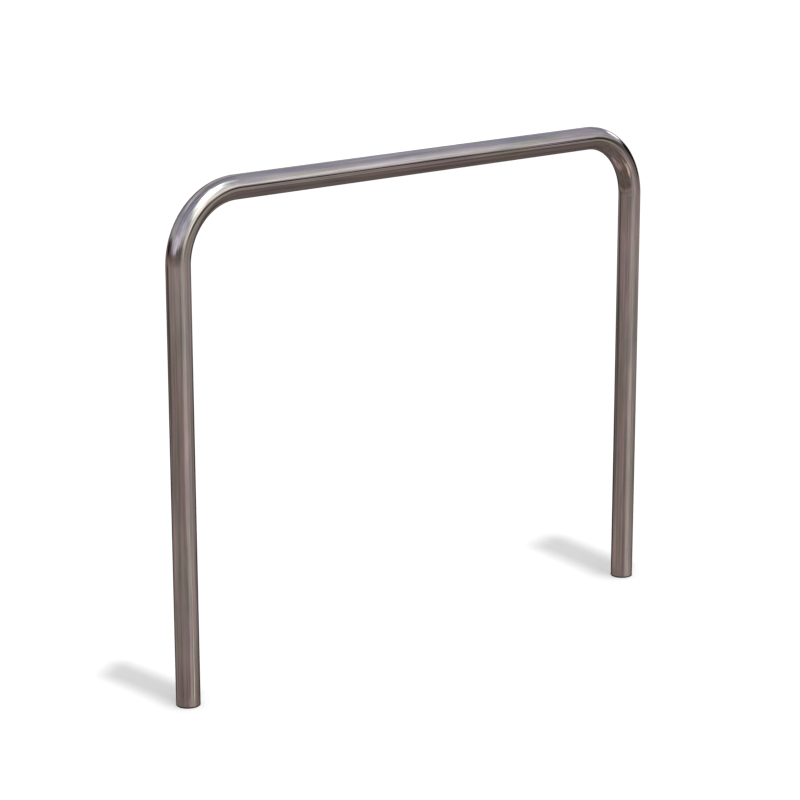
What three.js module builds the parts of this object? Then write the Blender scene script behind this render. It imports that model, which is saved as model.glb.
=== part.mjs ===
import * as THREE from 'three';

// Hoop bike rack: an upside-down U of stainless tube that a frame and wheel lean on and lock to.
// Two legs, two quarter bends and a top rail are butt welded end to end, and a push-in plug
// closes the foot of each leg. Millimetres, +Z up. The origin is on the ground midway between
// the legs, with X along the hoop and Y across it.

// Tube, one stock size throughout
const tubeDiameter = 42.4;
const tubeWall = 2;

// Hoop
const legSpacing = 1075; // from one leg's centre line to the other's
const hoopHeight = 910; // from the ground to the top of the rail
const bendRadius = 120; // of the tube's centre line

// Butt welds, ground flush outside, with a low root bead standing into the bore
const weldWidth = 4;
const rootBeadHeight = 0.7;
const rootBeadWidthShare = 0.5; // of the weld's width

// End plugs: a flange under the tube and a ribbed cup up inside it
const flangeThickness = 2.5;
const flangeChamfer = 0.8;
const cupLength = 26;
const cupWall = 2;
const cupFloor = 3;
const ribCount = 3;
const ribHeight = 1.2; // how far a rib stands out from the cup
const ribFlatShare = 0.15; // of the spacing of the ribs
const ribTaperShare = 0.4; // of the spacing of the ribs

// Clearances
const seamGap = 0.3; // between faces that meet
const ribGap = 0.3; // between a rib's edge and the bore

// Smoothness of the faceted surfaces
const roundSteps = 48; // around the tube
const bendSteps = 20; // along a bend

const fullTurn = Math.PI * 2;
const halfTurn = fullTurn / 2;
const quarterTurn = halfTurn / 2;

const tubeRadius = tubeDiameter / 2;
const boreRadius = tubeRadius - tubeWall;
const railHeight = hoopHeight - tubeRadius; // centre line
const bendBase = railHeight - bendRadius; // where the leg's centre line starts to curve
const legOffset = legSpacing / 2;
const railOffset = legOffset - bendRadius; // where the rail's centre line starts to curve
const legFoot = flangeThickness + seamGap;
const jointLength = weldWidth + seamGap + seamGap; // from a bend's end to the next straight
const legLength = bendBase - jointLength - legFoot;
const railHalfLength = railOffset - jointLength;

// A quarter of a circle in the XZ plane, from straight up at the start to level along +X.
class QuarterBend extends THREE.Curve {
  getPoint(share, point = new THREE.Vector3()) {
    const angle = share * quarterTurn;
    return point.set(bendRadius - bendRadius * Math.cos(angle), 0, bendRadius * Math.sin(angle));
  }

  getTangent(share, tangent = new THREE.Vector3()) {
    const angle = share * quarterTurn;
    return tangent.set(Math.sin(angle), 0, Math.cos(angle));
  }
}

// The tube's cross-section, a ring.
function tubeSection() {
  const section = new THREE.Shape();
  section.absarc(0, 0, tubeRadius, 0, fullTurn);
  const bore = new THREE.Path();
  bore.absarc(0, 0, boreRadius, 0, fullTurn);
  section.holes.push(bore);
  return section;
}

// Extrudes the tube's section. An arc is drawn with twice as many sides as its curveSegments.
function extrudeTube(options) {
  const common = { bevelEnabled: false, curveSegments: roundSteps / 2 };
  return new THREE.ExtrudeGeometry(tubeSection(), { ...common, ...options });
}

// A straight length of tube, standing on the origin.
function straightTube(length) {
  return extrudeTube({ depth: length, steps: 1 });
}

// A quarter bend, from a level end at the origin to an upright end.
function bentTube() {
  return extrudeTube({ extrudePath: new QuarterBend(), steps: bendSteps });
}

// Turns an outline of [radius, height] pairs about the Z axis.
function revolve(outline) {
  const points = outline.map(([radius, height]) => new THREE.Vector2(radius, height));
  return new THREE.LatheGeometry(points, roundSteps).rotateX(quarterTurn);
}

// One weld: the wall's thickness in metal, flush outside, with its root bead inside.
function weldRing() {
  const beadRadius = boreRadius - rootBeadHeight;
  const beadMargin = (weldWidth - weldWidth * rootBeadWidthShare) / 2;
  return revolve([
    [boreRadius, 0],
    [tubeRadius, 0],
    [tubeRadius, weldWidth],
    [boreRadius, weldWidth],
    [beadRadius, weldWidth - beadMargin],
    [beadRadius, beadMargin],
    [boreRadius, 0],
  ]);
}

// One end plug, standing on its flange. Each rib is square below and tapers above, to lead it in.
function endPlug() {
  const ribRadius = boreRadius - ribGap;
  const cupRadius = ribRadius - ribHeight;
  const cupTop = flangeThickness + cupLength;
  const ribSpacing = cupLength / (ribCount + 1);
  const outline = [
    [0, 0],
    [tubeRadius - flangeChamfer, 0],
    [tubeRadius, flangeChamfer],
    [tubeRadius, flangeThickness],
    [cupRadius, flangeThickness],
  ];
  for (let rib = 1; rib <= ribCount; rib += 1) {
    const ribBase = flangeThickness + rib * ribSpacing - ribSpacing / 2;
    const flatTop = ribBase + ribSpacing * ribFlatShare;
    outline.push([cupRadius, ribBase]);
    outline.push([ribRadius, ribBase]);
    outline.push([ribRadius, flatTop]);
    outline.push([cupRadius, flatTop + ribSpacing * ribTaperShare]);
  }
  outline.push([cupRadius, cupTop]);
  outline.push([cupRadius - cupWall, cupTop]);
  outline.push([cupRadius - cupWall, cupFloor]);
  outline.push([0, cupFloor]);
  return revolve(outline);
}

function satinSteel() {
  return new THREE.MeshStandardMaterial({ color: '#9a908b', roughness: 0.3, metalness: 1 });
}

function groundWeld() {
  return new THREE.MeshStandardMaterial({ color: '#948a85', roughness: 0.4, metalness: 1 });
}

function blackPolyethylene() {
  return new THREE.MeshStandardMaterial({ color: '#1c1c1d', roughness: 0.55, metalness: 0 });
}

function namedMesh(name, geometry, material) {
  const mesh = new THREE.Mesh(geometry, material);
  mesh.name = name;
  return mesh;
}

// The plug, leg, bend and two welds of one side, with the rail towards +X.
function hoopSide(side) {
  const pieces = new THREE.Group();

  const plug = namedMesh(`${side}_end_plug`, endPlug(), blackPolyethylene());
  plug.position.set(-legOffset, 0, 0);

  const leg = namedMesh(`${side}_leg`, straightTube(legLength), satinSteel());
  leg.position.set(-legOffset, 0, legFoot);

  const legWeld = namedMesh(`${side}_leg_weld`, weldRing(), groundWeld());
  legWeld.position.set(-legOffset, 0, legFoot + legLength + seamGap);

  const bend = namedMesh(`${side}_bend`, bentTube(), satinSteel());
  bend.position.set(-legOffset, 0, bendBase);

  const railWeld = namedMesh(`${side}_rail_weld`, weldRing(), groundWeld());
  railWeld.position.set(seamGap - railOffset, 0, railHeight);
  railWeld.rotation.y = quarterTurn;

  pieces.add(plug, leg, legWeld, bend, railWeld);
  return pieces;
}

function topRail() {
  const rail = namedMesh('top_rail', straightTube(railHalfLength * 2), satinSteel());
  rail.position.set(-railHalfLength, 0, railHeight);
  rail.rotation.y = quarterTurn;
  return rail;
}

const hoop = new THREE.Group();
const leftSide = hoopSide('left');
const rightSide = hoopSide('right');
rightSide.rotation.z = halfTurn;
hoop.add(leftSide, rightSide, topRail());

export default hoop;
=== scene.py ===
# Hoop bike rack: an upside-down U of bright stainless tube, standing on two plugged feet.
import math

import bmesh
import bpy
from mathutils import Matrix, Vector


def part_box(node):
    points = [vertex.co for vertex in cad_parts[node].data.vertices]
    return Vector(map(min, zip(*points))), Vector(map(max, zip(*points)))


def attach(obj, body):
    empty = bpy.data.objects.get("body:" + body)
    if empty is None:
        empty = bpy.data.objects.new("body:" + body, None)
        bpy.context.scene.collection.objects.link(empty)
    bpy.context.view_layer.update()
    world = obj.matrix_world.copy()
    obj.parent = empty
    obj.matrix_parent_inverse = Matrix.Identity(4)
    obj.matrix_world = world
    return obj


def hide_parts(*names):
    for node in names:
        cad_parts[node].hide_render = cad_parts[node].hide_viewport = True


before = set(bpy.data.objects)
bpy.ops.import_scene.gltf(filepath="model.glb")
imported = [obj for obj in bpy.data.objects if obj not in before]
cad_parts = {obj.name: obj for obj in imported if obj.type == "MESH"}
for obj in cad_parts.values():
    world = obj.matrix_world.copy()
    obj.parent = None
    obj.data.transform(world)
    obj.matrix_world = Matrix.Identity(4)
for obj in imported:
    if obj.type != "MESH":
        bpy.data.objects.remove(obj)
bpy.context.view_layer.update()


# The hoop's tube: two legs, two quarter bends and the top rail, all of one stock size of
# stainless tube, 42.4 mm across with a 2 mm wall. It was drawn through a die and bright
# annealed, then the bends were made on a rotary bender and the lengths cut square.

# Sizes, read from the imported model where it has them
mm = 0.001
rail_low, rail_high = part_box("top_rail")
bend_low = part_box("left_bend")[0]
leg_low, leg_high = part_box("left_leg")
tube_radius = (rail_high.z - rail_low.z) / 2
tube_wall = 2 * mm
leg_offset = -(leg_low.x + leg_high.x) / 2
rail_height = rail_high.z - tube_radius
bend_radius = rail_height - bend_low.z
round_steps = 144
bend_steps = 72
straight_steps = 24
crisp_angle = math.radians(35)

# Places along the centre line, measured from the ground under the left leg
leg_start = leg_low.z
leg_end = leg_high.z
bend_start = bend_low.z
bend_end = bend_start + bend_radius * math.pi / 2
middle = bend_end + leg_offset - bend_radius
rail_start = middle - rail_high.x


def add_node(tree, kind, inputs=None, **settings):
    """Adds a node with its settings. An input that is given a node or socket is linked."""
    node = tree.nodes.new(kind)
    for name, value in settings.items():
        setattr(node, name, value)
    for name, value in (inputs or {}).items():
        if isinstance(value, bpy.types.Node):
            value = value.outputs[0]
        if isinstance(value, bpy.types.NodeSocket):
            tree.links.new(value, node.inputs[name])
        else:
            node.inputs[name].default_value = value
    return node


def hoop_sweep():
    """Builds the tree that sweeps the tube's skin along a stretch of the hoop's centre line.

    One rule serves the whole hoop, because its two sides are alike: a place past the middle
    is folded back to the left side, worked out there, and mirrored.
    """
    tree = bpy.data.node_groups.new("hoop_sweep", "GeometryNodeTree")
    sockets = {}
    for name, kind in (
        ("Start", "NodeSocketFloat"),
        ("End", "NodeSocketFloat"),
        ("Steps Along", "NodeSocketInt"),
        ("Steps Around", "NodeSocketInt"),
        ("Tube Radius", "NodeSocketFloat"),
        ("Leg Offset", "NodeSocketFloat"),
        ("Bend Radius", "NodeSocketFloat"),
        ("Bend Start", "NodeSocketFloat"),
        ("Bend End", "NodeSocketFloat"),
        ("Middle", "NodeSocketFloat"),
        ("Material", "NodeSocketMaterial"),
    ):
        sockets[name] = tree.interface.new_socket(name, in_out="INPUT", socket_type=kind)
    tree.interface.new_socket("Geometry", in_out="OUTPUT", socket_type="NodeSocketGeometry")
    given = tree.nodes.new("NodeGroupInput").outputs

    # A flat grid, whose X becomes the way along the tube and whose Y the way around it
    columns = add_node(tree, "ShaderNodeMath", {0: given["Steps Along"], 1: 1}, operation="ADD")
    rows = add_node(tree, "ShaderNodeMath", {0: given["Steps Around"], 1: 1}, operation="ADD")
    grid = add_node(
        tree, "GeometryNodeMeshGrid",
        {"Size X": 1, "Size Y": 1, "Vertices X": columns, "Vertices Y": rows},
    )
    position = add_node(tree, "GeometryNodeInputPosition")
    place = add_node(tree, "ShaderNodeSeparateXYZ", {0: position}).outputs
    grid_edge = 0.5
    travel = add_node(
        tree, "ShaderNodeMapRange",
        {
            "Value": place["X"],
            "From Min": -grid_edge,
            "From Max": grid_edge,
            "To Min": given["Start"],
            "To Max": given["End"],
        },
        clamp=False,
    )
    turn = add_node(
        tree, "ShaderNodeMapRange",
        {"Value": place["Y"], "From Min": -grid_edge, "From Max": grid_edge, "To Max": math.tau},
        clamp=False,
    )

    # The tube pulled straight, and its skin unrolled flat, for the patterns on it
    cosine = add_node(tree, "ShaderNodeMath", {0: turn}, operation="COSINE")
    sine = add_node(tree, "ShaderNodeMath", {0: turn}, operation="SINE")
    outward = add_node(
        tree, "ShaderNodeMath", {0: cosine, 1: given["Tube Radius"]}, operation="MULTIPLY"
    )
    across = add_node(
        tree, "ShaderNodeMath", {0: sine, 1: given["Tube Radius"]}, operation="MULTIPLY"
    )
    around = add_node(
        tree, "ShaderNodeMath", {0: turn, 1: given["Tube Radius"]}, operation="MULTIPLY"
    )
    straightened = add_node(
        tree, "ShaderNodeCombineXYZ", {"X": travel, "Y": outward, "Z": across}
    )
    unrolled = add_node(tree, "ShaderNodeCombineXYZ", {"X": travel, "Y": around})

    # The centre line: up the leg, round the bend, and level to the middle
    folded = add_node(
        tree, "ShaderNodeMath", {0: travel, 1: given["Middle"]}, operation="PINGPONG"
    )
    angle = add_node(
        tree, "ShaderNodeMapRange",
        {
            "Value": folded,
            "From Min": given["Bend Start"],
            "From Max": given["Bend End"],
            "To Max": math.pi / 2,
        },
    )
    in_bend = add_node(
        tree, "ShaderNodeClamp",
        {"Value": folded, "Min": given["Bend Start"], "Max": given["Bend End"]},
    )
    straight = add_node(tree, "ShaderNodeMath", {0: folded, 1: in_bend}, operation="SUBTRACT")
    below = add_node(tree, "ShaderNodeMath", {0: straight, 1: 0}, operation="MINIMUM")
    beyond = add_node(tree, "ShaderNodeMath", {0: straight, 1: 0}, operation="MAXIMUM")

    # The skin: the tube's circle, swung about the bend's centre, moved there and mirrored
    reach = add_node(
        tree, "ShaderNodeMath", {0: given["Bend Radius"], 1: outward}, operation="ADD"
    )
    arm = add_node(tree, "ShaderNodeCombineXYZ", {"X": reach, "Y": across})
    swung = add_node(
        tree, "ShaderNodeVectorRotate", {"Vector": arm, "Axis": (0, -1, 0), "Angle": angle}
    )
    centre_x = add_node(
        tree, "ShaderNodeMath", {0: given["Leg Offset"], 1: given["Bend Radius"]},
        operation="SUBTRACT",
    )
    start_x = add_node(tree, "ShaderNodeMath", {0: centre_x, 1: beyond}, operation="SUBTRACT")
    start_z = add_node(
        tree, "ShaderNodeMath", {0: given["Bend Start"], 1: below}, operation="ADD"
    )
    centre = add_node(tree, "ShaderNodeCombineXYZ", {"X": start_x, "Z": start_z})
    skin = add_node(tree, "ShaderNodeVectorMath", {0: swung, 1: centre}, operation="ADD")
    past = add_node(
        tree, "ShaderNodeMath", {0: travel, 1: given["Middle"]}, operation="SUBTRACT"
    )
    side = add_node(tree, "ShaderNodeMath", {0: past}, operation="SIGN")
    mirror = add_node(tree, "ShaderNodeCombineXYZ", {"X": side, "Y": 1, "Z": 1})
    skin = add_node(tree, "ShaderNodeVectorMath", {0: skin, 1: mirror}, operation="MULTIPLY")

    mesh = add_node(
        tree, "GeometryNodeStoreNamedAttribute",
        {"Geometry": grid, "Name": "unrolled", "Value": unrolled},
        data_type="FLOAT2", domain="CORNER",
    )
    mesh = add_node(
        tree, "GeometryNodeStoreNamedAttribute",
        {"Geometry": mesh, "Name": "straightened", "Value": straightened},
        data_type="FLOAT_VECTOR", domain="POINT",
    )
    mesh = add_node(tree, "GeometryNodeSetPosition", {"Geometry": mesh, "Position": skin})
    seam_reach = 0.001 * mm
    mesh = add_node(
        tree, "GeometryNodeMergeByDistance", {"Geometry": mesh, "Distance": seam_reach}
    )
    mesh = add_node(tree, "GeometryNodeRealizeInstances", {"Geometry": mesh})
    mesh = add_node(
        tree, "GeometryNodeSetMaterial", {"Geometry": mesh, "Material": given["Material"]}
    )
    add_node(tree, "NodeGroupOutput", {"Geometry": mesh})
    return tree, {name: socket.identifier for name, socket in sockets.items()}


def new_object(name, mesh):
    piece = bpy.data.objects.new(name, mesh)
    bpy.context.scene.collection.objects.link(piece)
    return piece


sweep_tree, sweep_inputs = hoop_sweep()


def hoop_tube(name, start, end, steps, material):
    """Makes the stretch of tube from start to end along the centre line, with its wall."""
    piece = new_object(name, bpy.data.meshes.new(name))
    sweep = piece.modifiers.new("sweep", "NODES")
    sweep.node_group = sweep_tree
    for label, value in (
        ("Start", start),
        ("End", end),
        ("Steps Along", steps),
        ("Steps Around", round_steps),
        ("Tube Radius", tube_radius),
        ("Leg Offset", leg_offset),
        ("Bend Radius", bend_radius),
        ("Bend Start", bend_start),
        ("Bend End", bend_end),
        ("Middle", middle),
        ("Material", material),
    ):
        sweep[sweep_inputs[label]] = value
    wall = piece.modifiers.new("wall", "SOLIDIFY")
    wall.thickness = tube_wall
    wall.offset = -1

    graph = bpy.context.evaluated_depsgraph_get()
    mesh = bpy.data.meshes.new_from_object(piece.evaluated_get(graph))
    piece.modifiers.clear()
    piece.data = mesh
    mesh.shade_smooth()
    mesh.set_sharp_from_angle(angle=crisp_angle)
    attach(piece, "root")
    return piece


def linear(hex_colour):
    """Turns an sRGB hex colour into linear RGBA."""
    levels = [int(hex_colour[i:i + 2], 16) / 255 for i in (1, 3, 5)]
    toe, slope, offset, power = 0.04045, 12.92, 0.055, 2.4
    rgb = [
        level / slope if level <= toe else ((level + offset) / (1 + offset)) ** power
        for level in levels
    ]
    return (*rgb, 1)


def new_material(name):
    material = bpy.data.materials.new(name)
    material.use_nodes = True
    material.node_tree.nodes.clear()
    return material


line_depth = 0.35 * mm
stretch_of_gloss = 0.5
lengthwise_turn = 0.25

# The Mix node's colour sockets go by number, because its other kinds have the same names
mix_a = 6
mix_b = 7
mix_result = 2


def marked_steel(tree):
    """Adds the marks that run the length of the hoop, and the colour they give bare steel.

    Die lines and a belt's hairlines stay in the steel, and hands and rain leave a thin film
    in long patches on top. All carry on across the welds. Returns lines, film and colour.
    """
    tube_place = add_node(tree, "ShaderNodeAttribute", attribute_name="straightened")
    tube_place = tube_place.outputs["Vector"]

    # Die lines. Real ones are a tenth of a millimetre wide; these are wide enough to show
    line_width = 3.6 * mm
    line_length = 500 * mm
    stretched = add_node(
        tree, "ShaderNodeMapping",
        {"Vector": tube_place, "Scale": (1 / line_length, 1 / line_width, 1 / line_width)},
    )
    lines = add_node(
        tree, "ShaderNodeTexNoise",
        {"Vector": stretched, "Scale": 1, "Detail": 1, "Roughness": 0.5},
    ).outputs[0]

    # Film, in patches as long as a wipe or a run of rain
    patch_width = 14 * mm
    patch_length = 140 * mm
    wiped = add_node(
        tree, "ShaderNodeMapping",
        {"Vector": tube_place, "Scale": (1 / patch_length, 1 / patch_width, 1 / patch_width)},
    )
    film = add_node(
        tree, "ShaderNodeTexNoise",
        {"Vector": wiped, "Scale": 1, "Detail": 5, "Roughness": 0.65},
    ).outputs

    # Hairlines of the polishing belt, between the die lines and like them drawn too wide
    hair_width = 0.35 * mm
    hair_length = 45 * mm
    combed = add_node(
        tree, "ShaderNodeMapping",
        {"Vector": tube_place, "Scale": (1 / hair_length, 1 / hair_width, 1 / hair_width)},
    )
    hairs = add_node(
        tree, "ShaderNodeTexNoise",
        {"Vector": combed, "Scale": 1, "Detail": 2, "Roughness": 0.6},
    ).outputs[0]

    # All three change how bright it is, and the film tints it a very little
    film_share = 0.9
    hair_share = 0.3
    tone = add_node(
        tree, "ShaderNodeMath", {0: film[0], 1: film_share, 2: lines},
        operation="MULTIPLY_ADD",
    )
    tone = add_node(
        tree, "ShaderNodeMath", {0: hairs, 1: hair_share, 2: tone},
        operation="MULTIPLY_ADD",
    )
    middle_tone = (1 + film_share + hair_share) / 2
    contrast_reach = 0.24
    tone = add_node(
        tree, "ShaderNodeMapRange",
        {
            "Value": tone,
            "From Min": middle_tone - contrast_reach,
            "From Max": middle_tone + contrast_reach,
        },
    )
    dull_steel = "#b0acaa"
    bright_steel = "#dfdddc"
    colour = add_node(
        tree, "ShaderNodeMix",
        {"Factor": tone, mix_a: linear(dull_steel), mix_b: linear(bright_steel)},
        data_type="RGBA",
    ).outputs[mix_result]
    tint = 0.28
    colour = add_node(
        tree, "ShaderNodeMix", {"Factor": tint, mix_a: colour, mix_b: film[1]},
        data_type="RGBA", blend_type="OVERLAY",
    ).outputs[mix_result]
    return lines, film[0], colour


def drawn_stainless():
    """Chromium nickel stainless steel, drawn through a die, bright annealed, lightly belted.

    That leaves it close to a mirror. The faint die lines break each reflection into lengthwise
    streaks and blur it a little across them. Dust lies in the splash zone above the ground, and
    the same paler band is also a painted reflection of the ground beside the foot.
    """
    material = new_material("stainless_steel_bright_drawn")
    tree = material.node_tree
    lines, film, colour = marked_steel(tree)

    # Dust, and a painted reflection of the ground beside the foot, up to a ragged line
    dust_and_reflection_height = 26 * mm
    dust_and_reflection_fade = 16 * mm
    ragged = 14 * mm
    hoop_place = add_node(tree, "ShaderNodeTexCoord").outputs["Object"]
    height = add_node(tree, "ShaderNodeSeparateXYZ", {0: hoop_place}).outputs["Z"]
    raggedness = add_node(
        tree, "ShaderNodeMath", {0: lines, 1: ragged, 2: height}, operation="MULTIPLY_ADD"
    )
    dust_and_ground_reflection = add_node(
        tree, "ShaderNodeMapRange",
        {
            "Value": raggedness,
            "From Min": dust_and_reflection_height + ragged / 2,
            "From Max": dust_and_reflection_height + ragged / 2 - dust_and_reflection_fade,
        },
        interpolation_type="SMOOTHSTEP",
    )
    dust_and_reflection_cover = 0.35
    thin_dust_and_ground_reflection = add_node(
        tree, "ShaderNodeMath", {0: dust_and_ground_reflection, 1: dust_and_reflection_cover}, operation="MULTIPLY"
    )
    # Pale warm grey for the dust, which also stands in as a painted reflection of the ground low
    # on the leg
    dust_and_ground_reflection_colour = "#d8d2cc"
    colour = add_node(
        tree, "ShaderNodeMix",
        {"Factor": thin_dust_and_ground_reflection, mix_a: colour, mix_b: linear(dust_and_ground_reflection_colour)},
        data_type="RGBA",
    ).outputs[mix_result]

    bright_roughness = 0.025
    film_roughness = 0.06
    dust_roughness = 0.22
    clear_film = 0.35
    thick_film = 0.75
    roughness = add_node(
        tree, "ShaderNodeMapRange",
        {
            "Value": film,
            "From Min": clear_film,
            "From Max": thick_film,
            "To Min": bright_roughness,
            "To Max": bright_roughness + film_roughness,
        },
    )
    roughness = add_node(
        tree, "ShaderNodeMath", {0: dust_and_ground_reflection, 1: dust_roughness, 2: roughness},
        operation="MULTIPLY_ADD",
    )
    bump = add_node(
        tree, "ShaderNodeBump", {"Height": lines, "Distance": line_depth, "Strength": 1}
    )
    tangent = add_node(tree, "ShaderNodeTangent", direction_type="UV_MAP", uv_map="unrolled")
    shader = add_node(
        tree, "ShaderNodeBsdfPrincipled",
        {
            "Base Color": colour,
            "Metallic": 1,
            "Roughness": roughness,
            "Anisotropic": stretch_of_gloss,
            "Anisotropic Rotation": lengthwise_turn,
            "Normal": bump,
            "Tangent": tangent,
        },
    )
    add_node(tree, "ShaderNodeOutputMaterial", {"Surface": shader})
    return material


steel = drawn_stainless()
for name, node, start, end, steps in (
    ("left_leg_tube", "left_leg", leg_start, leg_end, straight_steps),
    ("left_bend_tube", "left_bend", bend_start, bend_end, bend_steps),
    ("rail_tube", "top_rail", rail_start, 2 * middle - rail_start, straight_steps),
    ("right_bend_tube", "right_bend", 2 * middle - bend_end, 2 * middle - bend_start, bend_steps),
    ("right_leg_tube", "right_leg", 2 * middle - leg_end, 2 * middle - leg_start, straight_steps),
):
    tube = hoop_tube(name, start, end, steps, steel)
    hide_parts(node)


# The butt welds: four rings of metal fused through the wall where a bend meets a straight
# length. Each was ground flush and blended by hand, so only its shorter grain tells it apart.
weld_steps = 4


def ground_weld():
    """Weld metal of the tube's own grade, ground and mopped until it meets the tube flush.

    The mop ran along the tube, so the tube's lines carry on through it. Its own short grain
    makes it only a shade duller.
    """
    material = new_material("stainless_steel_weld_ground")
    tree = material.node_tree
    lines, _, colour = marked_steel(tree)

    # Grain of a fine mop, drawn several times too coarse so that it shows close up
    grain_width = 0.9 * mm
    grain_length = 12 * mm
    tube_place = add_node(tree, "ShaderNodeAttribute", attribute_name="straightened")
    stretched = add_node(
        tree, "ShaderNodeMapping",
        {
            "Vector": tube_place.outputs["Vector"],
            "Scale": (1 / grain_length, 1 / grain_width, 1 / grain_width),
        },
    )
    grain = add_node(
        tree, "ShaderNodeTexNoise",
        {"Vector": stretched, "Scale": 1, "Detail": 3, "Roughness": 0.6},
    ).outputs[0]
    bright_roughness = 0.04
    dull_roughness = 0.12
    roughness = add_node(
        tree, "ShaderNodeMapRange",
        {"Value": grain, "To Min": bright_roughness, "To Max": dull_roughness},
    )
    grain_depth = 0.02 * mm
    bump = add_node(
        tree, "ShaderNodeBump", {"Height": lines, "Distance": line_depth, "Strength": 1}
    )
    bump = add_node(
        tree, "ShaderNodeBump",
        {"Height": grain, "Distance": grain_depth, "Strength": 1, "Normal": bump},
    )
    tangent = add_node(tree, "ShaderNodeTangent", direction_type="UV_MAP", uv_map="unrolled")
    shader = add_node(
        tree, "ShaderNodeBsdfPrincipled",
        {
            "Base Color": colour,
            "Metallic": 1,
            "Roughness": roughness,
            "Anisotropic": stretch_of_gloss,
            "Anisotropic Rotation": lengthwise_turn,
            "Normal": bump,
            "Tangent": tangent,
        },
    )
    add_node(tree, "ShaderNodeOutputMaterial", {"Surface": shader})
    return material


weld_metal = ground_weld()
for node, start, end in (
    ("left_leg_weld", leg_end, bend_start),
    ("left_rail_weld", bend_end, rail_start),
    ("right_rail_weld", 2 * middle - rail_start, 2 * middle - bend_end),
    ("right_leg_weld", 2 * middle - bend_start, 2 * middle - leg_end),
):
    ring = hoop_tube(node + "_ring", start, end, weld_steps, weld_metal)
    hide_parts(node)


# The end plugs: one for the foot of each leg, injection moulded in black polyethylene. Its
# ribbed cup is pushed up into the bore until its flange, which takes the wear, meets the tube.
cup_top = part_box("left_end_plug")[1].z
flange_thickness = 2.5 * mm
flange_chamfer = 0.8 * mm
cup_wall = 2 * mm
cup_floor = 3 * mm
rib_count = 3
rib_height = 1.2 * mm
rib_gap = 0.3 * mm
rib_flat_share = 0.15
rib_taper_share = 0.4
plug_round_steps = 96


def moulded_polyethylene():
    """High density polyethylene, moulded black in a spark eroded tool.

    It is dull and faintly waxy, with a fine even texture. The foot of it is scuffed grey.
    """
    material = new_material("polyethylene_moulded_black")
    tree = material.node_tree
    place = add_node(tree, "ShaderNodeTexCoord").outputs["Object"]

    # Spark texture, drawn at twice its real size
    texture_size = 0.5 * mm
    pits = add_node(
        tree, "ShaderNodeTexNoise",
        {"Vector": place, "Scale": 1 / texture_size, "Detail": 2, "Roughness": 0.5},
    ).outputs[0]
    scuff_size = 6 * mm
    scuffs = add_node(
        tree, "ShaderNodeTexNoise",
        {"Vector": place, "Scale": 1 / scuff_size, "Detail": 5, "Roughness": 0.7},
    ).outputs[0]
    height = add_node(tree, "ShaderNodeSeparateXYZ", {0: place}).outputs["Z"]
    low = add_node(
        tree, "ShaderNodeMapRange",
        {"Value": height, "From Min": flange_chamfer * 2, "From Max": 0},
    )
    worn = add_node(tree, "ShaderNodeMath", {0: low, 1: scuffs}, operation="MULTIPLY")
    moulded_black = "#1b1b1c"
    scuffed_grey = "#4a4745"
    colour = add_node(
        tree, "ShaderNodeMix",
        {"Factor": worn, mix_a: linear(moulded_black), mix_b: linear(scuffed_grey)},
        data_type="RGBA",
    ).outputs[mix_result]
    waxy_roughness = 0.42
    scuffed_roughness = 0.68
    roughness = add_node(
        tree, "ShaderNodeMapRange",
        {"Value": scuffs, "To Min": waxy_roughness, "To Max": scuffed_roughness},
    )
    pit_depth = 0.03 * mm
    pit_strength = 0.6
    bump = add_node(
        tree, "ShaderNodeBump",
        {"Height": pits, "Distance": pit_depth, "Strength": pit_strength},
    )
    polyethylene_ior = 1.54
    shader = add_node(
        tree, "ShaderNodeBsdfPrincipled",
        {
            "Base Color": colour,
            "Roughness": roughness,
            "IOR": polyethylene_ior,
            "Normal": bump,
        },
    )
    add_node(tree, "ShaderNodeOutputMaterial", {"Surface": shader})
    return material


def plug_outline():
    """The plug's half section, as radius and height, from its sole to its cup's floor."""
    rib_radius = tube_radius - tube_wall - rib_gap
    cup_radius = rib_radius - rib_height
    rib_spacing = (cup_top - flange_thickness) / (rib_count + 1)
    outline = [
        (0, 0),
        (tube_radius - flange_chamfer, 0),
        (tube_radius, flange_chamfer),
        (tube_radius, flange_thickness),
        (cup_radius, flange_thickness),
    ]
    for rib in range(rib_count):
        rib_base = flange_thickness + (rib + 0.5) * rib_spacing
        flat_top = rib_base + rib_spacing * rib_flat_share
        outline.append((cup_radius, rib_base))
        outline.append((rib_radius, rib_base))
        outline.append((rib_radius, flat_top))
        outline.append((cup_radius, flat_top + rib_spacing * rib_taper_share))
    outline.append((cup_radius, cup_top))
    outline.append((cup_radius - cup_wall, cup_top))
    outline.append((cup_radius - cup_wall, cup_floor))
    outline.append((0, cup_floor))
    return outline


def turned_mesh(name, outline, centre_x, material):
    """Turns an outline, whose two ends are on an upright axis, into one closed skin.

    Its corners are made ring by ring, so that they come in the same order on each run.
    """
    shape = bmesh.new()
    rings = []
    for radius, height in outline:
        steps = plug_round_steps if radius > 0 else 1
        ring = []
        for step in range(steps):
            angle = math.tau * step / steps
            across = centre_x + radius * math.cos(angle)
            ring.append(shape.verts.new((across, radius * math.sin(angle), height)))
        rings.append(ring)

    # On the axis a ring is one point, so the faces that meet there have three corners
    for ring, following in zip(rings, rings[1:]):
        for step in range(plug_round_steps):
            after = step + 1
            corners = [ring[step % len(ring)], ring[after % len(ring)]]
            corners += [following[after % len(following)], following[step % len(following)]]
            shape.faces.new(list(dict.fromkeys(corners)))
    mesh = bpy.data.meshes.new(name)
    shape.to_mesh(mesh)
    shape.free()
    mesh.materials.append(material)
    mesh.shade_smooth()
    mesh.set_sharp_from_angle(angle=crisp_angle)
    return mesh


polyethylene = moulded_polyethylene()
for node, centre_x in (("left_end_plug", -leg_offset), ("right_end_plug", leg_offset)):
    name = node.replace("_end_plug", "_foot_plug")
    plug = new_object(name, turned_mesh(name, plug_outline(), centre_x, polyethylene))
    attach(plug, "root")
    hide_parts(node)


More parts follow.
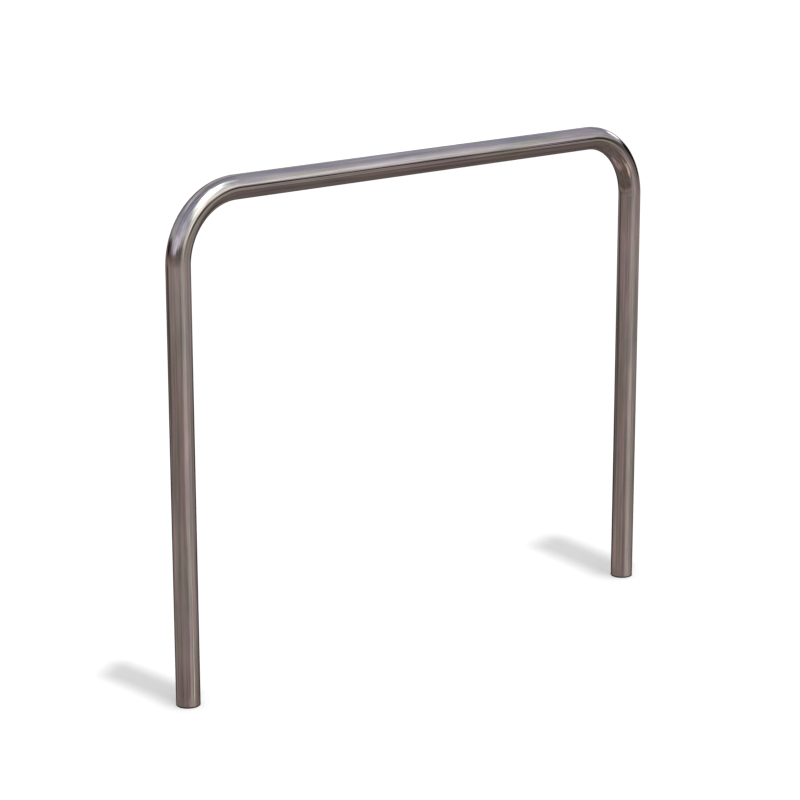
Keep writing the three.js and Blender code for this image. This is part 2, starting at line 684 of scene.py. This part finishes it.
# The studio floor: a wide board, painted matt white, that the hoop stands on. It takes the
# shadows and throws light back at the plugs, but the steel doesn't mirror it.
floor_half = 30
matt_white = "#e6e6e6"
floor_mesh = bpy.data.meshes.new("floor")
corners = [(x * floor_half, y * floor_half, 0) for x, y in ((-1, -1), (1, -1), (1, 1), (-1, 1))]
floor_mesh.from_pydata(corners, [], [(0, 1, 2, 3)])
floor = new_object("floor", floor_mesh)
floor_material = new_material("board_painted_matt_white")
shader = add_node(
    floor_material.node_tree, "ShaderNodeBsdfDiffuse", {"Color": linear(matt_white)}
)
add_node(floor_material.node_tree, "ShaderNodeOutputMaterial", {"Surface": shader})
floor_mesh.materials.append(floor_material)
floor.visible_glossy = False


# The key lamp: a soft source, high in front. The photograph has a short soft stub of shadow
# behind each foot, wider than the tube, and no other. So only two small boards shade the lamp.
# They hang in front of the legs, hidden from the camera and from the steel.
def toward(azimuth, elevation):
    """A direction from degrees. Azimuth 0 is -Y, and it grows towards -X."""
    a, e = math.radians(azimuth), math.radians(elevation)
    return Vector((-math.sin(a) * math.cos(e), -math.cos(a) * math.cos(e), math.sin(e)))


lamp_elevation = 60
lamp_strength = 1.7
lamp_spread = 5.5
lamp_data = bpy.data.lights.new("soft_key", "SUN")
lamp_data.energy = lamp_strength
lamp_data.angle = math.radians(lamp_spread)
lamp = new_object("soft_key", lamp_data)
lamp.rotation_euler = toward(0, lamp_elevation).to_track_quat("Z", "Y").to_euler()
lamp.visible_glossy = False

# Each board is a slanted slip. Its name, where along X its shadow starts, its heading in
# degrees, and its width, length and height above the floor. A small gap keeps the start of the
# shadow off the front of the foot.
in_the_way = bpy.data.collections.new("in_the_way")
start_gap = 18 * mm
slant = 22 * mm
for name, foot_x, heading, width, length, height in (
    ("left_shade", -leg_offset + 15 * mm, 3, 77 * mm, 243 * mm, 430 * mm),
    ("right_shade", leg_offset + 10 * mm, -7.6, 98 * mm, 277 * mm, 560 * mm),
):
    away = -toward(-heading, 0)
    aside = Vector((away.y, -away.x, 0)) * width / 2 + away * slant
    foot_shade = Vector((foot_x, -height / math.tan(math.radians(lamp_elevation)), height))
    near = foot_shade + away * start_gap
    far = foot_shade + away * length
    shade_mesh = bpy.data.meshes.new(name)
    corners = [near - aside, near + aside, far + aside, far - aside]
    shade_mesh.from_pydata(corners, [], [(0, 1, 2, 3)])
    shade_mesh.materials.append(floor_material)
    shade = new_object(name, shade_mesh)
    shade.visible_camera = False
    shade.visible_diffuse = False
    shade.visible_glossy = False
    in_the_way.objects.link(shade)
lamp.light_linking.blocker_collection = in_the_way


# The studio dome: what the bright tube mirrors. It has a cool upper half, a dark line at the
# horizon and a warm lower half, with one tall soft box and smaller cards and flags.
# Azimuths are as above, and the shades are as they look in the tube.
dome_shades = (
    (-90, "#655b58"),
    (-75, "#605855"),
    (-60, "#5a524f"),
    (-45, "#584f4c"),
    (-33, "#5b504d"),
    (-26, "#554b49"),
    (-22, "#685b57"),
    (-19, "#7b6e6a"),
    (-15, "#6f635f"),
    (-11, "#7f7370"),
    (-8, "#70625d"),
    (-3, "#685b57"),
    (1, "#605653"),
    (4, "#6b6464"),
    (9, "#8c8789"),
    (16, "#a8a4a8"),
    (26, "#918e96"),
    (38, "#8c8a97"),
    (50, "#83828e"),
    (65, "#82808a"),
    (90, "#928e92"),
)
# What each is, azimuth, elevation, half width, half height, soft share, shade, strength
cards = (
    ("low front card", -5, -28, 32, 7, 0.3, "#766c66", 1),
    ("low side card", -106, -27, 14, 8, 0.3, "#7d736d", 1),
    ("wide low card", -27, -15, 37, 6, 0.25, "#867d78", 1),
    ("pale low card", 0, -14, 17, 10, 0.3, "#928985", 1),
    ("brown card", 17, -50, 42, 14, 0.7, "#5e4d49", 1),
    ("pink patch", 2, -46, 12, 5, 0.6, "#8d7873", 1),
    ("gold card", 5, -35, 13, 5.5, 0.45, "#cbb7a7", 1),
    ("ground glow", 155, -67, 34, 12, 0.6, "#98857f", 1),
    ("pink low card", 95, -69, 45, 8, 0.5, "#83726e", 1),
    ("dark low card", -85, -30, 17, 9, 0.6, "#3c3735", 1),
    ("small pink card", -25, -21, 4, 2.5, 0.5, "#c4b2a9", 1),
    ("low grey card", 110, -44, 30, 10, 0.6, "#5a5450", 1),
    ("grey card", -47, 34, 25, 17, 0.5, "#aca6ab", 1),
    ("cream card", -22, 22, 23, 10, 0.35, "#e2dbd7", 1),
    ("low cream card", -3, 6, 11, 11, 0.5, "#c4bcb8", 1),
    ("lilac card", 42, 34, 20, 17, 0.5, "#a39fac", 1),
    ("small lilac card", 84, 16, 25, 10, 0.5, "#aea9b7", 1),
    ("side card", 160, 50, 20, 8, 0.6, "#babac2", 1),
    ("back card", -165, 34, 20, 10, 0.6, "#a5a0a0", 1),
    ("high back flag", -112, 29, 18, 9, 0.5, "#6c6975", 1),
    ("back flag", -170, 15, 20, 11, 0.6, "#55545a", 1),
    ("small flag", 45, 1, 27, 7, 0.5, "#58514f", 1),
    ("dark edge flag", 148, -12, 15, 3.5, 0.5, "#4a413e", 1),
    ("plum flag", 130, 8, 23, 10, 0.5, "#4c3a43", 1),
    ("black flag", 152, 4, 14, 5.5, 0.5, "#261a1e", 1),
    ("front flag", -35, 0.7, 18, 5.5, 0.45, "#241c1a", 1),
    ("dark side flag", -67, 6, 9, 5, 0.5, "#46424a", 1),
    ("black side flag", -91, 4, 19.5, 9, 0.2, "#1c1412", 1),
    ("side soft box", -101, 19, 12, 4.5, 0.35, "#ffffff", 1.2),
    ("soft box's fading edge", -53, 55, 13, 8, 0.7, "#c4c1bf", 1),
    ("tall soft box, top", -10, 70.5, 49, 14, 0.5, "#ffffff", 1.4),
    ("tall soft box, middle", -3, 51, 30, 13, 0.45, "#ffffff", 1.5),
    ("tall soft box, foot", -1, 37, 18, 12, 0.5, "#ffffff", 1.2),
    ("cream glow", -3, 27, 9, 11, 0.5, "#fff9f5", 1.1),
    ("small cream glow", -11, 10, 6, 8, 0.5, "#f0e9e6", 1),
    ("low black flag behind the hoop", -142, -18, 46, 9.5, 0.35, "#191615", 1),
    ("tall black flag behind the hoop", -137, -1.5, 17, 17, 0.3, "#191615", 1),
)

world = bpy.data.worlds.new("studio_dome")
world.use_nodes = True
world.cycles.sampling_method = "NONE"
bpy.context.scene.world = world
tree = world.node_tree
tree.nodes.clear()
direction = add_node(tree, "ShaderNodeTexCoord").outputs["Generated"]

# The direction as azimuth and elevation in degrees, made a little ragged
parts = add_node(tree, "ShaderNodeSeparateXYZ", {0: direction}).outputs
east = add_node(tree, "ShaderNodeMath", {0: parts["X"], 1: -1}, operation="MULTIPLY")
north = add_node(tree, "ShaderNodeMath", {0: parts["Y"], 1: -1}, operation="MULTIPLY")
azimuth = add_node(tree, "ShaderNodeMath", {0: east, 1: north}, operation="ARCTAN2")
elevation = add_node(tree, "ShaderNodeMath", {0: parts["Z"]}, operation="ARCSINE")
radians = add_node(tree, "ShaderNodeCombineXYZ", {"X": azimuth, "Y": elevation})
degrees = add_node(
    tree, "ShaderNodeVectorMath", {0: radians, "Scale": math.degrees(1)}, operation="SCALE"
)
ragged_scale = 9
ragged_reach = 9
raggedness = add_node(
    tree, "ShaderNodeTexNoise",
    {"Vector": direction, "Scale": ragged_scale, "Detail": 4, "Roughness": 0.6},
)
offset = add_node(
    tree, "ShaderNodeVectorMath", {0: raggedness.outputs["Color"], 1: (0.5, 0.5, 0.5)},
    operation="SUBTRACT",
)
offset = add_node(
    tree, "ShaderNodeVectorMath", {0: offset, 1: (ragged_reach, ragged_reach, 0)},
    operation="MULTIPLY",
)
heading = add_node(tree, "ShaderNodeVectorMath", {0: degrees, 1: offset}, operation="ADD")
heading_height = add_node(tree, "ShaderNodeSeparateXYZ", {0: heading}).outputs["Y"]

zenith = 90
share = add_node(
    tree, "ShaderNodeMapRange",
    {"Value": heading_height, "From Min": -zenith, "From Max": zenith},
)
ramp = add_node(tree, "ShaderNodeValToRGB", {"Fac": share})
stops = ramp.color_ramp.elements
stops.remove(stops[-1])
for number, (height, shade) in enumerate(dome_shades):
    stop = stops[0] if number == 0 else stops.new(1)
    stop.position = (height + zenith) / (2 * zenith)
    stop.color = linear(shade)
colour = ramp.outputs["Color"]

# Each card is laid over the shades and the cards before it, and fades out at its edge
half_turn = 180
for name, around, height, half_width, half_height, softness, shade, strength in cards:
    away = add_node(
        tree, "ShaderNodeVectorMath", {0: heading, 1: (around, height, 0)}, operation="SUBTRACT"
    )
    away = add_node(
        tree, "ShaderNodeVectorMath",
        {0: away, 1: (half_turn, half_turn, 1), 2: (-half_turn, -half_turn, -1)},
        operation="WRAP",
    )
    away = add_node(
        tree, "ShaderNodeVectorMath", {0: away, 1: (1 / half_width, 1 / half_height, 0)},
        operation="MULTIPLY",
    )
    distance = add_node(tree, "ShaderNodeVectorMath", {0: away}, operation="LENGTH")
    cover = add_node(
        tree, "ShaderNodeMapRange",
        {
            "Value": distance.outputs["Value"],
            "From Min": 1 + softness,
            "From Max": 1 - softness,
        },
        interpolation_type="SMOOTHSTEP", label=name,
    )
    bright = [level * strength for level in linear(shade)[:3]] + [1]
    colour = add_node(
        tree, "ShaderNodeMix", {"Factor": cover.outputs[0], mix_a: colour, mix_b: bright},
        data_type="RGBA",
    ).outputs[mix_result]

# Cloudy unevenness, in tone and a little in tint
cloud_scale = 7
cloud_thin = 0.3
cloud_thick = 0.7
cloud_depth = 0.25
cloud_tint = 0.12
clouds = add_node(
    tree, "ShaderNodeTexNoise",
    {"Vector": direction, "Scale": cloud_scale, "Detail": 6, "Roughness": 0.65},
).outputs
cloud_tone = add_node(
    tree, "ShaderNodeMapRange",
    {
        "Value": clouds[0],
        "From Min": cloud_thin,
        "From Max": cloud_thick,
        "To Min": 1 - cloud_depth,
        "To Max": 1 + cloud_depth,
    },
)
colour = add_node(
    tree, "ShaderNodeVectorMath", {0: colour, "Scale": cloud_tone}, operation="SCALE"
)
colour = add_node(
    tree, "ShaderNodeMix", {"Factor": cloud_tint, mix_a: colour, mix_b: clouds[1]},
    data_type="RGBA", blend_type="OVERLAY",
).outputs[mix_result]

# Mirrored as above, plain white behind the hoop, and a softer white as light on the floor.
# The steel gives back only a share of what it mirrors, which the mirrored dome makes up for.
steel_share = 0.6
soft_strength = 0.9
white = (1, 1, 1, 1)
mirrored = add_node(
    tree, "ShaderNodeBackground", {"Color": colour, "Strength": 1 / steel_share}
)
plain = add_node(tree, "ShaderNodeBackground", {"Color": white, "Strength": 1})
soft = add_node(tree, "ShaderNodeBackground", {"Color": white, "Strength": soft_strength})
path = add_node(tree, "ShaderNodeLightPath").outputs
surround = add_node(
    tree, "ShaderNodeMixShader", {0: path["Is Glossy Ray"], 1: soft, 2: mirrored}
)
surround = add_node(
    tree, "ShaderNodeMixShader", {0: path["Is Camera Ray"], 1: surround, 2: plain}
)
add_node(tree, "ShaderNodeOutputWorld", {"Surface": surround})


# The camera, where the photograph was taken from: 4.5 metres away, at the height of a standing
# person's eyes. The place was found from the hoop's outline.
camera_azimuth = 41.265
camera_elevation = 14.279
camera_distance = 4.528
camera_aim = Vector((-0.0506, 0, 0.46))
camera_roll = -0.086
focal_length_pixels = 2508.5
picture_width_pixels = 800
sensor_width_mm = 36

back = toward(camera_azimuth, camera_elevation)
camera_data = bpy.data.cameras.new("camera")
camera_data.sensor_width = sensor_width_mm
camera_data.lens = focal_length_pixels * sensor_width_mm / picture_width_pixels
camera = new_object("camera", camera_data)
camera.location = camera_aim + back * camera_distance
camera.rotation_euler = back.to_track_quat("Z", "Y").to_euler()
camera.rotation_euler.rotate_axis("Z", math.radians(camera_roll))
bpy.context.scene.camera = camera
bpy.context.scene.view_settings.view_transform = "Standard"
